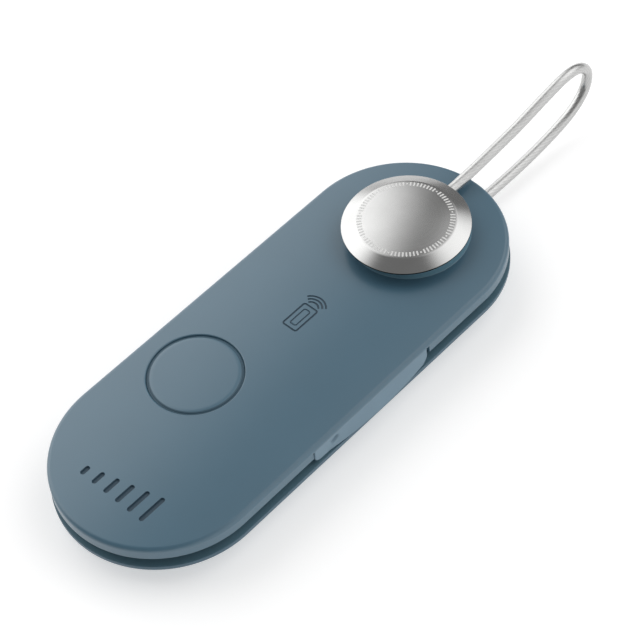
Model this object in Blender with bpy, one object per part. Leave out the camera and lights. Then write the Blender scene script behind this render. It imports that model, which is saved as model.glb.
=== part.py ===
"""Bluetooth tracker tag: a flat pill-shaped case with a press button, a charging port under a
flap, and a steel rope loop held between two steel discs on a stud through one end.

Lengths are written in millimetres and turned into metres where the meshes are made. The frame
has +X along the tag towards the rope, +Y across it, +Z out of the face with the button. The
origin is the middle of the tag's outline, level with the flat foot of the lower disc.
"""

import math

import bpy
from mathutils import Matrix, Vector

MM = 0.001

# The outline is a stadium: two half circles joined by straight sides. Inner outlines share
# its centres, so a smaller radius is an inset.
LENGTH = 87.0
WIDTH = 34.0
SHELL_R = WIDTH / 2
HALF_STRAIGHT = (LENGTH - WIDTH) / 2
SHELL_INNER_R = 15.7
FRAME_OUTER_R = 15.4
FRAME_INNER_R = 14.0
COVER_R = 17.15
ARC_STEPS = 20

# Heights above the foot.
COVER_BOTTOM = 3.1
COVER_FLOOR = 3.9
COVER_LIP_TOP = 4.15
SHELL_BOTTOM = 6.0
ROOF_UNDERSIDE = 7.4
WALL_TOP = 7.6
TOP_FACE = 8.3
TOP_FILLET = 0.7
BOSS_TOP = 10.1

GAP = 0.3
THIN_GAP = 0.1

# Press button.
BUTTON_X, BUTTON_Y = -13.2, 6.3
BUTTON_R = 7.25
BUTTON_FLANGE_R = 7.9

# Rope fixing: everything here is centred on the stud.
FIX_X = 27.9
BOSS_X = 28.6
BOSS_R = 9.7
DISC_R = 10.3
DISC_DOME_R = 8.1
DISC_RIM_BOTTOM = 10.65
DISC_RIM_EDGE = 10.8
DISC_DOME_EDGE = 11.95
DISC_APEX = 12.5
BASE_R = 9.0
BASE_TOP = 2.95
STUD_R = 2.5
STUD_TOP = 11.25
BUSH_INNER_R, BUSH_OUTER_R = 2.8, 3.7
FIX_HOLE_R = 4.0
HUB_R = 3.6
LUG_R = 5.6
FERRULE_R = 1.15
POCKET_R = 6.0
CHANNEL_HALF = 1.45
UPPER_ROPE_Z = 9.65
LOWER_ROPE_Z = 1.6
ROPE_D = 1.8

# Charging port and its flap, on the -Y side.
PORT_X, PORT_Z = 0.9, 5.65
FLAP_LEFT, FLAP_RIGHT = -11.7, 13.3
FLAP_TOP, FLAP_BOTTOM = 7.2, 4.5
FLAP_INNER_Y = -15.7
FLAP_SIDE_Y = -16.95
FLAP_BULGE = 0.9
FLAP_BULGE_X, FLAP_BULGE_HALF = 2.3, 11.0
FLAP_HINGE_X, FLAP_HINGE_Y = 13.0, -16.6
NOTCH_X, NOTCH_Z = -7.5, 6.4

# Circuit board and battery.
PCB_BOTTOM, PCB_TOP = 5.15, 5.95
PCB_R = 13.4
PIEZO_X = -24.5
SCREW_PLACES = ((-35.0, 8.2), (-35.0, -8.2), (21.8, 11.2), (21.8, -11.2))
BATTERY = ((-2.5, -4.4, 4.2), (19.5, 13.4, 6.85))


def clear_scene():
    for obj in list(bpy.data.objects):
        bpy.data.objects.remove(obj)


def material(name, colour, roughness, metallic=0.0):
    made = bpy.data.materials.new(name)
    made.use_nodes = True
    shader = made.node_tree.nodes["Principled BSDF"]
    shader.inputs["Base Color"].default_value = (*colour, 1.0)
    shader.inputs["Roughness"].default_value = roughness
    shader.inputs["Metallic"].default_value = metallic
    return made


def add_object(name, mesh, finish, smooth_angle=30):
    obj = bpy.data.objects.new(name, mesh)
    bpy.context.scene.collection.objects.link(obj)
    if finish:
        mesh.materials.append(finish)
    mesh.shade_smooth()
    mesh.set_sharp_from_angle(angle=math.radians(smooth_angle))
    return obj


# ---------------------------------------------------------------- outlines and solids


def stadium(radius, z, steps=ARC_STEPS):
    """Points anticlockwise round a stadium of this radius."""
    points = []
    for centre, start in ((HALF_STRAIGHT, -90), (-HALF_STRAIGHT, 90)):
        for i in range(steps + 1):
            a = math.radians(start + 180 * i / steps)
            points.append((centre + radius * math.cos(a), radius * math.sin(a), z))
    return points


def circle(x, y, radius, z, steps=32):
    turn = [2 * math.pi * i / steps for i in range(steps)]
    return [(x + radius * math.cos(a), y + radius * math.sin(a), z) for a in turn]


def rounded_box_loop(width, height, radius, steps=4):
    """(u, v) points anticlockwise round a rounded rectangle centred on the origin."""
    points = []
    for sx, sy, start in ((1, -1, -90), (1, 1, 0), (-1, 1, 90), (-1, -1, 180)):
        for i in range(steps + 1):
            a = math.radians(start + 90 * i / steps)
            u = sx * (width / 2 - radius) + radius * math.cos(a)
            v = sy * (height / 2 - radius) + radius * math.sin(a)
            points.append((u, v))
    return points


def loft(name, loops, finish, ring=False):
    """A closed solid through loops of equal length, capped at both ends, or closed on
    itself when ring is true."""
    n = len(loops[0])
    points = [Vector(p) * MM for loop in loops for p in loop]
    faces = []
    pairs = [(k, k + 1) for k in range(len(loops) - 1)]
    if ring:
        pairs.append((len(loops) - 1, 0))
    for a, b in pairs:
        for i in range(n):
            j = (i + 1) % n
            faces.append((a * n + i, a * n + j, b * n + j, b * n + i))
    if not ring:
        faces.append(tuple(reversed(range(n))))
        faces.append(tuple(range((len(loops) - 1) * n, len(loops) * n)))
    mesh = bpy.data.meshes.new(name)
    mesh.from_pydata(points, [], faces)
    mesh.update()
    return add_object(name, mesh, finish)


def turned(name, x, y, profile, finish, steps=32):
    """A solid of revolution about a vertical axis, from (radius, height) pairs."""
    return loft(name, [circle(x, y, r, z, steps) for r, z in profile], finish)


def turned_ring(name, x, y, profile, finish, steps=32):
    return loft(name, [circle(x, y, r, z, steps) for r, z in profile], finish, ring=True)


def tube_profile(inner, outer, low, high):
    """Cross-section of a plain ring, its outside running upwards."""
    return ((inner, low), (outer, low), (outer, high), (inner, high))


def prism(name, outline, low, high, finish):
    """An upright extrusion of an anticlockwise outline of (x, y) points."""
    loops = [[(x, y, z) for x, y in outline] for z in (low, high)]
    return loft(name, loops, finish)


def box(name, low, high, finish):
    (x0, y0, z0), (x1, y1, z1) = low, high
    return prism(name, ((x0, y0), (x1, y0), (x1, y1), (x0, y1)), z0, z1, finish)


def rounded_block(name, x, y, size, low, high, finish, radius=0.3):
    """A chip-like block with rounded corners, seen from above."""
    outline = [(x + u, y + v) for u, v in rounded_box_loop(size[0], size[1], radius, 2)]
    return prism(name, outline, low, high, finish)


def lying_cylinder(name, start, end, radius, finish, steps=16):
    """A cylinder along X at the height and place of its start point."""
    x0, y, z = start
    loops = []
    for x in (x0, end):
        turn = [2 * math.pi * i / steps for i in range(steps)]
        loops.append([(x, y + radius * math.cos(a), z + radius * math.sin(a)) for a in turn])
    return loft(name, loops, finish)


def racetrack_along_y(width, height, radius, y, x=PORT_X, z=PORT_Z):
    """A rounded rectangle standing in the XZ plane, for lofts that run towards -Y."""
    return [(x + u, y, z + v) for u, v in rounded_box_loop(width, height, radius)]


# ---------------------------------------------------------------- Booleans


def as_helper(obj):
    obj.hide_render = True
    obj.display_type = "WIRE"
    return obj


def combine(obj, other, operation):
    step = obj.modifiers.new(other.name, "BOOLEAN")
    step.operation = operation
    step.solver = "EXACT"
    step.object = as_helper(other)


def cut(obj, *cutters):
    for cutter in cutters:
        combine(obj, cutter, "DIFFERENCE")


def join(obj, *others):
    for other in others:
        combine(obj, other, "UNION")


def cylinder_tool(name, x, y, radius, low, high, steps=32):
    return turned(name, x, y, ((radius, low), (radius, high)), None, steps)


# ---------------------------------------------------------------- casing


def top_fillet(steps=3):
    """(radius, height) pairs round the shell's upper edge."""
    pairs = []
    for i in range(steps + 1):
        a = math.radians(90 * i / steps)
        inset = TOP_FILLET * (1 - math.cos(a))
        pairs.append((SHELL_R - inset, WALL_TOP + TOP_FILLET * math.sin(a)))
    return pairs


def make_top_shell(finish):
    profile = [
        (SHELL_INNER_R, ROOF_UNDERSIDE),
        (SHELL_INNER_R, SHELL_BOTTOM),
        (SHELL_R, SHELL_BOTTOM),
        *top_fillet(),
    ]
    shell = loft("top_shell", [stadium(r, z) for r, z in profile], finish)

    boss_profile = (
        (BOSS_R, ROOF_UNDERSIDE + 0.3),
        (BOSS_R, BOSS_TOP - 0.4),
        (BOSS_R - 0.12, BOSS_TOP - 0.12),
        (BOSS_R - 0.4, BOSS_TOP),
    )
    join(shell, turned("boss", BOSS_X, 0, boss_profile, None, 48))
    for i, (x, y) in enumerate(SCREW_PLACES, 1):
        join(shell, cylinder_tool(f"shell_post_{i}", x, y, 1.7, COVER_LIP_TOP, WALL_TOP, 16))
        cut(shell, cylinder_tool(f"shell_post_hole_{i}", x, y, 1.0, 3.5, 7.0, 12))

    button_hole_r = BUTTON_R + GAP
    notch_low = (FLAP_LEFT - GAP, -18.5, SHELL_BOTTOM - 0.5)
    notch_high = (FLAP_RIGHT + 1.5 * GAP, FLAP_INNER_Y + 0.2, FLAP_TOP + 0.25)
    cut(
        shell,
        cylinder_tool("button_hole", BUTTON_X, BUTTON_Y, button_hole_r, 7.0, 9.0, 48),
        cylinder_tool("shell_fix_hole", FIX_X, 0, FIX_HOLE_R, 6.5, 9.0),
        cylinder_tool("boss_pocket", FIX_X, 0, POCKET_R, 8.7, 11.0),
        box("boss_channel", (FIX_X, -CHANNEL_HALF, 8.4), (41.0, CHANNEL_HALF, 11.0), None),
        box("flap_notch", notch_low, notch_high, None),
    )
    return shell


def make_mid_frame(finish):
    """The recessed waist, with a collar for the bush tied to both sides by ribs."""
    profile = tube_profile(FRAME_INNER_R, FRAME_OUTER_R, COVER_LIP_TOP, 7.25)
    frame = loft("mid_frame", [stadium(r, z) for r, z in profile], finish, ring=True)
    for side in (-1, 1):
        low, high = sorted((side * 4.6, side * 14.6))
        rib_low = (FIX_X - 0.6, low, 4.2)
        rib_high = (FIX_X + 0.6, high, 7.2)
        join(frame, box(f"frame_rib_{side}", rib_low, rib_high, None))
    collar = tube_profile(FIX_HOLE_R, 5.2, COVER_LIP_TOP, 7.25)
    join(frame, turned_ring("frame_collar", FIX_X, 0, collar, None))
    cut(
        frame,
        box("frame_port", (PORT_X - 4.8, -16.5, 3.5), (PORT_X + 4.8, -12.5, 8.0), None),
        box("frame_anchor_slot", (10.9, -16.5, 4.75), (13.3, -12.5, 6.65), None),
    )
    return frame


def make_rear_cover(finish):
    profile = (
        (COVER_R - 0.4, COVER_BOTTOM),
        (COVER_R - 0.12, COVER_BOTTOM + 0.12),
        (COVER_R, COVER_BOTTOM + 0.4),
        (COVER_R, COVER_LIP_TOP),
        (SHELL_INNER_R, COVER_LIP_TOP),
        (SHELL_INNER_R, COVER_FLOOR),
    )
    cover = loft("rear_cover", [stadium(r, z) for r, z in profile], finish)
    cut(cover, cylinder_tool("cover_fix_hole", FIX_X, 0, FIX_HOLE_R, 2.5, 4.5))
    for i, (x, y) in enumerate(SCREW_PLACES, 1):
        sink = ((1.95, 2.85), (1.95, 3.1), (1.0, 3.85), (1.0, 4.3))
        cut(cover, turned(f"countersink_{i}", x, y, sink, None, 16))
    return cover


def make_gasket(finish):
    profile = tube_profile(14.3, 15.2, 3.95, 4.1)
    return loft("perimeter_gasket", [stadium(r, z) for r, z in profile], finish, ring=True)


def make_rear_screws(finish):
    profile = ((1.5, 3.2), (0.7, 3.85), (0.7, 6.5), (0.3, 6.8))
    for i, (x, y) in enumerate(SCREW_PLACES, 1):
        screw = turned(f"rear_screw_{i}", x, y, profile, finish, 16)
        cut(screw, cylinder_tool(f"screw_drive_{i}", x, y, 0.5, 3.0, 3.55, 6))


# ---------------------------------------------------------------- button


def make_button(finish):
    """A cap with a flange under the roof and a nub over the dome switch; it slides down."""
    profile = [
        (1.2, 6.75),
        (1.2, 6.85),
        (BUTTON_FLANGE_R, 6.85),
        (BUTTON_FLANGE_R, 7.25),
        (BUTTON_R, 7.25),
        (BUTTON_R, TOP_FACE - 0.15),
        (BUTTON_R - 0.15, TOP_FACE),
    ]
    cap = turned("button_cap", 0, 0, profile, finish, 48)
    reach = FRAME_INNER_R - GAP - BUTTON_Y
    flat = box("flange_flat", (-9, reach, 6), (9, 12, 9), None)
    cut(cap, flat)
    for obj in (cap, flat):
        obj.location = (BUTTON_X * MM, BUTTON_Y * MM, 0)


def make_snap_dome(finish):
    profile = ((2.5, 6.05), (2.3, 6.18), (1.4, 6.3), (0.5, 6.35))
    turned("snap_dome", BUTTON_X, BUTTON_Y, profile, finish, 20)


# ---------------------------------------------------------------- charging port


def flap_bottom(x):
    """The flap's lower edge, rounded off at both ends."""
    for end, reach, rise in ((FLAP_LEFT, 1.3, 1.1), (FLAP_RIGHT, 1.6, 1.7)):
        near = 1 - abs(x - end) / reach
        if near > 0:
            return FLAP_BOTTOM + rise * (1 - math.sqrt(max(0.0, 1 - near * near)))
    return FLAP_BOTTOM


def flap_outer_y(x, z):
    """The outer face leans out downwards, most of all near the middle."""
    bulge = FLAP_BULGE * max(0.0, 1 - ((x - FLAP_BULGE_X) / FLAP_BULGE_HALF) ** 2)
    share = (FLAP_TOP - z) / (FLAP_TOP - FLAP_BOTTOM)
    return FLAP_SIDE_Y - bulge * share


def flap_section(x):
    low = flap_bottom(x)
    heights = [low + 0.25 + (FLAP_TOP - low - 0.25) * i / 3 for i in range(4)]
    loop = [(x, FLAP_INNER_Y, FLAP_TOP), (x, FLAP_INNER_Y, low)]
    loop.append((x, flap_outer_y(x, low) + 0.2, low))
    loop += [(x, flap_outer_y(x, z), z) for z in heights]
    return loop


def make_port_cover(finish):
    """The flap, with a bung behind it that fills the receptacle's mouth. Its origin is on the
    line where the strip bends."""
    ends = [0.0, 0.08, 0.35, 0.75, 1.3]
    left = [FLAP_LEFT + e for e in ends]
    right = [FLAP_RIGHT - e * 1.25 for e in reversed(ends)]
    middle = [left[-1] + (right[0] - left[-1]) * i / 10 for i in range(1, 10)]
    sections = [flap_section(x) for x in left + middle + right]
    flap = loft("port_cover", sections, finish)
    bung_loops = [racetrack_along_y(7.6, 1.9, 0.9, y) for y in (-13.9, -16.2)]
    bung = loft("flap_bung", bung_loops, None)
    dimple_loops = [racetrack_along_y(1.8, 0.6, 0.28, y, NOTCH_X, NOTCH_Z) for y in (-16.75, -18.5)]
    dimple = loft("nail_notch", dimple_loops, None)
    join(flap, bung)
    cut(flap, dimple)
    hinge = Vector((FLAP_HINGE_X, FLAP_HINGE_Y, 0)) * MM
    for obj in (flap, bung, dimple):
        obj.data.transform(Matrix.Translation(-hinge))
        obj.location = hinge


def make_cover_anchor(finish):
    """The fixed end of the flap's strip: a stem in the frame's slot with a wider head."""
    anchor = box("cover_anchor", (11.2, -15.35, 5.05), (13.0, -13.2, 6.35), finish)
    join(anchor, box("anchor_head", (10.3, -13.7, 4.6), (13.9, -13.0, 6.8), None))


def make_usb_receptacle(shell_finish, tongue_finish):
    def outer(y):
        return racetrack_along_y(8.9, 3.2, 1.3, y)

    def inner(y):
        return racetrack_along_y(8.2, 2.5, 1.0, y)

    loft("usb_shell", [inner(-8.3), inner(-14.2), outer(-14.2), outer(-7.9)], shell_finish)
    bpy.data.objects["usb_shell"].data.flip_normals()
    tongue = box(
        "usb_tongue",
        (PORT_X - 3.3, -13.5, PORT_Z - 0.35),
        (PORT_X + 3.3, -8.6, PORT_Z + 0.35),
        tongue_finish,
    )
    root_low = (PORT_X - 3.6, -10.0, PORT_Z - 0.9)
    root_high = (PORT_X + 3.6, -8.5, PORT_Z + 0.9)
    join(tongue, box("tongue_root", root_low, root_high, None))


# ---------------------------------------------------------------- electronics


def make_pcb(finish):
    """One board: a round-ended part under the button and an arm round the receptacle."""
    arc = [math.radians(90 + 180 * i / ARC_STEPS) for i in range(ARC_STEPS + 1)]
    outline = [(-HALF_STRAIGHT + PCB_R * math.cos(a), PCB_R * math.sin(a)) for a in arc]
    notch_left, notch_right = PORT_X - 4.75, PORT_X + 4.75
    outline += [
        (notch_left, -PCB_R),
        (notch_left, -7.6),
        (notch_right, -7.6),
        (notch_right, -PCB_R + 0.9),
        (7.2, -PCB_R + 0.9),
        (7.2, -5.0),
        (-4.5, -5.0),
        (-4.5, PCB_R),
    ]
    board = prism("main_pcb", outline, PCB_BOTTOM, PCB_TOP, finish)
    for i, (x, y) in enumerate(SCREW_PLACES[:2], 1):
        cut(board, cylinder_tool(f"pcb_hole_{i}", x, y, 2.0, 4.5, 6.5, 16))


def make_components(black, silver, ceramic, dark):
    base = PCB_TOP + THIN_GAP
    rounded_block("bluetooth_chip", -27.0, -5.0, (6, 6), base, base + 0.85, black)
    rounded_block("crystal", -27.0, 1.5, (3.2, 2.5), base, base + 0.7, silver)
    rounded_block("accelerometer", -31.0, 5.0, (2.2, 2.2), base, base + 0.9, black)
    rounded_block("charger_chip", -10.0, -6.5, (3, 3), base, base + 0.75, black)
    rounded_block("boost_inductor", -18.0, -8.5, (4, 4), base, base + 1.1, dark, 0.8)
    rounded_block("chip_antenna", -37.4, 0.0, (2, 7), base, base + 1.0, ceramic)


def make_nfc_antenna(copper, ferrite):
    x, y = 8.5, 4.5

    def loop(width, height, radius, z):
        return [(x + u, y + v, z) for u, v in rounded_box_loop(width, height, radius)]

    low, high = 7.15, 7.3
    inner, outer = (14, 10, 1), (18, 14, 3)
    rings = [loop(*inner, low), loop(*outer, low), loop(*outer, high), loop(*inner, high)]
    loft("nfc_antenna", rings, copper, ring=True)
    rounded_block("ferrite_sheet", x, y, (19, 15), 6.95, 7.05, ferrite, 2.0)


def make_battery(cell, foam):
    (x0, y0, z0), (x1, y1, z1) = BATTERY
    centre_x, centre_y = (x0 + x1) / 2, (y0 + y1) / 2
    width, depth = x1 - x0, y1 - y0

    def loop(inset, z):
        pairs = rounded_box_loop(width - 2 * inset, depth - 2 * inset, 1.2 - inset)
        return [(centre_x + u, centre_y + v, z) for u, v in pairs]

    loft("battery_cell", [loop(0.5, z0), loop(0, z0 + 0.5), loop(0, z1 - 0.5), loop(0.5, z1)], cell)
    rounded_block("battery_pad", centre_x, centre_y, (16, 12), 3.95, 4.1, foam, 1.0)


def make_piezo(brass, ceramic, adhesive):
    turned_ring("piezo_ring", PIEZO_X, 0, tube_profile(8.4, 9.8, 3.95, 4.1), adhesive)
    turned("piezo_plate", PIEZO_X, 0, ((10.0, 4.15), (10.0, 4.4)), brass)
    turned("piezo_ceramic", PIEZO_X, 0, ((7.0, 4.5), (7.0, 4.75)), ceramic)


# ---------------------------------------------------------------- wires and rope


def smooth_route(points, spacing):
    """Points this far apart along a Catmull-Rom curve through the route's own points."""
    p = [Vector(q) for q in points]
    ends = [2 * p[0] - p[1], *p, 2 * p[-1] - p[-2]]
    fine = []
    for a, b, c, d in zip(ends, ends[1:], ends[2:], ends[3:]):
        for i in range(24):
            t = i / 24
            fine.append(
                0.5 * (2 * b + (c - a) * t + (2 * a - 5 * b + 4 * c - d) * t * t
                       + (3 * b - a - 3 * c + d) * t ** 3)
            )
    fine.append(p[-1])
    length = sum((b - a).length for a, b in zip(fine, fine[1:]))
    count = max(2, round(length / spacing))
    route, walked, wanted = [fine[0]], 0.0, length / count
    for a, b in zip(fine, fine[1:]):
        walked += (b - a).length
        if walked >= wanted and len(route) < count:
            route.append(b)
            wanted = length * len(route) / count
    route.append(fine[-1])
    return route


def rope(name, points, diameter, finish, spacing):
    curve = bpy.data.curves.new(name, "CURVE")
    curve.dimensions = "3D"
    curve.bevel_depth = diameter / 2 * MM
    curve.bevel_resolution = 2
    curve.use_fill_caps = True
    route = smooth_route(points, spacing)
    spline = curve.splines.new("POLY")
    spline.points.add(len(route) - 1)
    for point, place in zip(spline.points, route):
        point.co = (*(place * MM), 1.0)
    curve.materials.append(finish)
    obj = bpy.data.objects.new(name, curve)
    bpy.context.scene.collection.objects.link(obj)


# The rope leaves the upper lug level with the boss, rises a little past the end of the tag,
# turns back in a round bight and returns under the tag to the lower lug.
LOOP_ROUTE = (
    (36.8, 0.0, 9.65),
    (39.5, -0.1, 9.68),
    (43.0, -0.2, 9.95),
    (47.0, -0.3, 10.4),
    (51.0, -0.35, 10.8),
    (55.0, -0.4, 11.3),
    (59.0, -0.4, 11.95),
    (63.0, -0.4, 12.6),
    (66.5, -0.4, 13.0),
    (69.3, -0.4, 12.75),
    (71.5, -0.4, 11.7),
    (72.8, -0.4, 10.0),
    (72.9, -0.45, 8.1),
    (72.2, -0.5, 6.4),
    (70.6, -0.55, 4.85),
    (68.2, -0.6, 3.65),
    (65.2, -0.6, 2.85),
    (61.5, -0.6, 2.25),
    (57.5, -0.6, 1.85),
    (53.0, -0.55, 1.6),
    (48.0, -0.45, 1.5),
    (43.5, -0.3, 1.5),
    (39.5, -0.1, 1.57),
    (36.2, 0.0, 1.6),
)


BATTERY_LEAD_RED = ((-2.9, 1.4, 6.3), (-4.6, 1.5, 6.45), (-6.2, 0.6, 6.4), (-7.4, -1.2, 6.35))
BATTERY_LEAD_BLACK = ((-2.9, 0.0, 6.3), (-4.4, 0.1, 6.45), (-5.6, -1.0, 6.4), (-6.6, -2.6, 6.35))
PIEZO_LEAD_1 = ((-13.9, -2.0, 4.76), (-11.6, -3.0, 4.8), (-9.6, -5.0, 4.8), (-8.6, -7.6, 4.8))
PIEZO_LEAD_2 = ((-17.1, 1.0, 4.78), (-13.0, 1.2, 4.8), (-9.8, -1.0, 4.8), (-7.4, -5.6, 4.8))
BATTERY_LEAD_D, PIEZO_LEAD_D = 0.6, 0.5
LEAD_SPACING = 1.2


def make_leads(red, black):
    rope("battery_lead_red", BATTERY_LEAD_RED, BATTERY_LEAD_D, red, LEAD_SPACING)
    rope("battery_lead_black", BATTERY_LEAD_BLACK, BATTERY_LEAD_D, black, LEAD_SPACING)
    rope("piezo_lead_1", PIEZO_LEAD_1, PIEZO_LEAD_D, black, LEAD_SPACING)
    rope("piezo_lead_2", PIEZO_LEAD_2, PIEZO_LEAD_D, red, LEAD_SPACING)


# ---------------------------------------------------------------- rope fixing


def make_fixing_bush(finish):
    profile = tube_profile(BUSH_INNER_R, BUSH_OUTER_R, COVER_BOTTOM + 0.05, 8.6)
    turned_ring("fixing_bush", FIX_X, 0, profile, finish)


def make_base_disc(finish):
    """The foot: a disc with a pocket for the lower lug, a way out for the rope, and the stud."""
    profile = ((BASE_R - 0.6, 0), (BASE_R, 0.5), (BASE_R, BASE_TOP - 0.3), (BASE_R - 0.3, BASE_TOP))
    disc = turned("base_disc", FIX_X, 0, profile, finish, 48)
    cut(
        disc,
        cylinder_tool("base_pocket", FIX_X, 0, POCKET_R, 0.7, 3.5),
        box("base_channel", (FIX_X, -CHANNEL_HALF, 0.35), (FIX_X + 12, CHANNEL_HALF, 3.5), None),
    )
    stud = ((STUD_R, 0.2), (STUD_R, STUD_TOP - 0.4), (STUD_R - 0.4, STUD_TOP))
    join(disc, turned("stud", FIX_X, 0, stud, None, 24))


def make_lug(name, inner, low, high, rope_z, ferrule_end, finish):
    """An eye round the stud, a tang, and the ferrule pressed on the rope's end."""
    lug = turned_ring(name, FIX_X, 0, tube_profile(inner, LUG_R, low, high), finish)
    tang_low = (FIX_X + LUG_R - 0.6, -1.0, low + 0.1)
    tang_high = (FIX_X + LUG_R + 1.0, 1.0, high - 0.1)
    ferrule_start = (FIX_X + LUG_R + 0.3, 0, rope_z)
    ferrule = lying_cylinder(f"{name}_ferrule", ferrule_start, ferrule_end, FERRULE_R, None)
    join(lug, box(f"{name}_tang", tang_low, tang_high, None), ferrule)


def make_slip_washer(finish):
    turned_ring("slip_washer", FIX_X, 0, tube_profile(3.9, 5.4, 10.3, 10.6), finish)


def make_cable_disc(finish):
    """The domed nut: a hub with a blind threaded bore, a shoulder over the washer, a hollow
    for the lug, and a bevelled rim round a shallow dome."""
    profile = [
        (2.8, 11.4),
        (2.8, 8.85),
        (HUB_R, 8.85),
        (HUB_R, 10.7),
        (5.4, 10.7),
        (5.4, 11.35),
        (8.6, 11.35),
        (9.3, DISC_RIM_BOTTOM),
        (DISC_R - 0.25, DISC_RIM_BOTTOM),
        (DISC_R, DISC_RIM_EDGE),
        (DISC_DOME_R, DISC_DOME_EDGE),
    ]
    dome = DISC_APEX - DISC_DOME_EDGE
    for share in (0.75, 0.5, 0.25):
        profile.append((DISC_DOME_R * share, DISC_DOME_EDGE + dome * (1 - share * share)))
    turned("cable_disc", 0, 0, profile, finish, 48).location = (FIX_X * MM, 0, 0)


def main():
    clear_scene()
    shell_blue = material("shell_blue", (0.105, 0.18, 0.21), 0.45)
    frame_blue = material("frame_blue", (0.04, 0.08, 0.10), 0.6)
    flap_blue = material("flap_blue", (0.12, 0.19, 0.22), 0.5)
    steel = material("steel", (0.62, 0.62, 0.62), 0.28, 1.0)
    rope_steel = material("rope_steel", (0.72, 0.72, 0.73), 0.3, 0.9)
    rubber = material("rubber", (0.02, 0.02, 0.02), 0.8)
    nylon = material("nylon", (0.75, 0.74, 0.70), 0.5)
    board = material("board", (0.02, 0.13, 0.06), 0.5)
    chip = material("chip", (0.02, 0.02, 0.022), 0.45)
    can = material("can", (0.55, 0.55, 0.54), 0.35, 1.0)
    ceramic = material("ceramic", (0.80, 0.78, 0.72), 0.4)
    ferrite = material("ferrite", (0.05, 0.05, 0.055), 0.6)
    copper = material("copper", (0.70, 0.32, 0.16), 0.35, 1.0)
    brass = material("brass", (0.72, 0.55, 0.22), 0.35, 1.0)
    foil = material("foil", (0.60, 0.61, 0.62), 0.4, 0.8)
    foam = material("foam", (0.08, 0.08, 0.08), 0.9)
    red = material("wire_red", (0.45, 0.02, 0.02), 0.5)
    black = material("wire_black", (0.015, 0.015, 0.015), 0.5)

    make_top_shell(shell_blue)
    make_mid_frame(frame_blue)
    make_rear_cover(shell_blue)
    make_gasket(rubber)
    make_rear_screws(steel)
    make_button(shell_blue)
    make_snap_dome(can)
    make_port_cover(flap_blue)
    make_cover_anchor(flap_blue)
    make_usb_receptacle(can, chip)
    make_pcb(board)
    make_components(chip, can, ceramic, ferrite)
    make_nfc_antenna(copper, ferrite)
    make_battery(foil, foam)
    make_piezo(brass, ceramic, foam)
    make_leads(red, black)
    make_fixing_bush(steel)
    make_base_disc(steel)
    make_lug("lower_cable_lug", 2.9, 0.85, 2.3, LOWER_ROPE_Z, 35.9, steel)
    make_lug("upper_cable_lug", 3.9, 8.9, 10.2, UPPER_ROPE_Z, 36.5, steel)
    make_slip_washer(nylon)
    make_cable_disc(steel)
    rope("cable_loop", LOOP_ROUTE, ROPE_D, rope_steel, 2.2 * ROPE_D)


main()
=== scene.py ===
"""Looks of the bluetooth tracker tag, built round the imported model.

Lengths are in millimetres and turned into metres where the meshes are made, except the rope's
route, width and length, which are in metres. +X runs along the tag towards the rope and +Z out
of the button's face.
"""

import math

import bpy
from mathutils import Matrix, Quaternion, Vector


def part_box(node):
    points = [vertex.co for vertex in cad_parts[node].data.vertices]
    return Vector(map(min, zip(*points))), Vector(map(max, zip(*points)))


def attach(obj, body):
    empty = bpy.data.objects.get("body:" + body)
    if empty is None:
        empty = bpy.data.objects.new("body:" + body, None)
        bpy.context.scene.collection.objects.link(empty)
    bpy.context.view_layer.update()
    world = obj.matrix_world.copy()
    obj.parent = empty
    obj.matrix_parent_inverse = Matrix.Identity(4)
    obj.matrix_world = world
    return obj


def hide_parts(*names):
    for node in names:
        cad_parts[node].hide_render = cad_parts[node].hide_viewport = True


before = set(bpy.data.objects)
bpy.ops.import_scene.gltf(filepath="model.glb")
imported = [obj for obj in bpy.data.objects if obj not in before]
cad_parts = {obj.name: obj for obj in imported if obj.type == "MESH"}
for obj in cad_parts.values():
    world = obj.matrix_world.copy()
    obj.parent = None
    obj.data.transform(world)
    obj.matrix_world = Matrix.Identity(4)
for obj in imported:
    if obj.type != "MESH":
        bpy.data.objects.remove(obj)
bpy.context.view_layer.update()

MM = 0.001


def corners(node):
    """Lowest and highest corner of a CAD node, in millimetres."""
    low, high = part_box(node)
    return low / MM, high / MM


# ---------------------------------------------------------------- driving dimensions

SHELL_LOW, SHELL_HIGH = corners("top_shell")
SHELL_R = (SHELL_HIGH.y - SHELL_LOW.y) / 2
HALF_STRAIGHT = SHELL_HIGH.x - SHELL_R
BOSS_TOP = SHELL_HIGH.z
SHELL_INNER_R = SHELL_R - 1.3
SHELL_BOTTOM = 6.0
ROOF_UNDERSIDE = 7.4
TOP_FILLET = 0.7
BOSS_X = 28.6
BOSS_R = 9.7

COVER_LOW, COVER_HIGH = corners("rear_cover")
COVER_R = COVER_HIGH.y
COVER_FLOOR = COVER_HIGH.z - 0.25

FRAME_LOW, FRAME_HIGH = corners("mid_frame")
FRAME_R = FRAME_HIGH.y
FRAME_INNER_R = FRAME_R - 1.4

BUTTON_LOW, BUTTON_HIGH = corners("button_cap")
FLANGE_R = (BUTTON_HIGH.x - BUTTON_LOW.x) / 2
BUTTON_X = BUTTON_LOW.x + FLANGE_R
BUTTON_Y = BUTTON_LOW.y + FLANGE_R
BUTTON_R = FLANGE_R - 0.65
BUTTON_HOLE_R = BUTTON_R + 0.3
TOP_FACE = BUTTON_HIGH.z
WALL_TOP = TOP_FACE - TOP_FILLET

DISC_LOW, DISC_HIGH = corners("cable_disc")
DISC_R = (DISC_HIGH.x - DISC_LOW.x) / 2
FIX_X = DISC_LOW.x + DISC_R
DOME_R = 8.1
DOME_EDGE = DISC_HIGH.z - 0.55
DOME_RISE = DISC_HIGH.z - DOME_EDGE
BEVEL_FOOT = 10.8
RIM_BOTTOM = 10.59
BORE_R = 2.8

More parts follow.
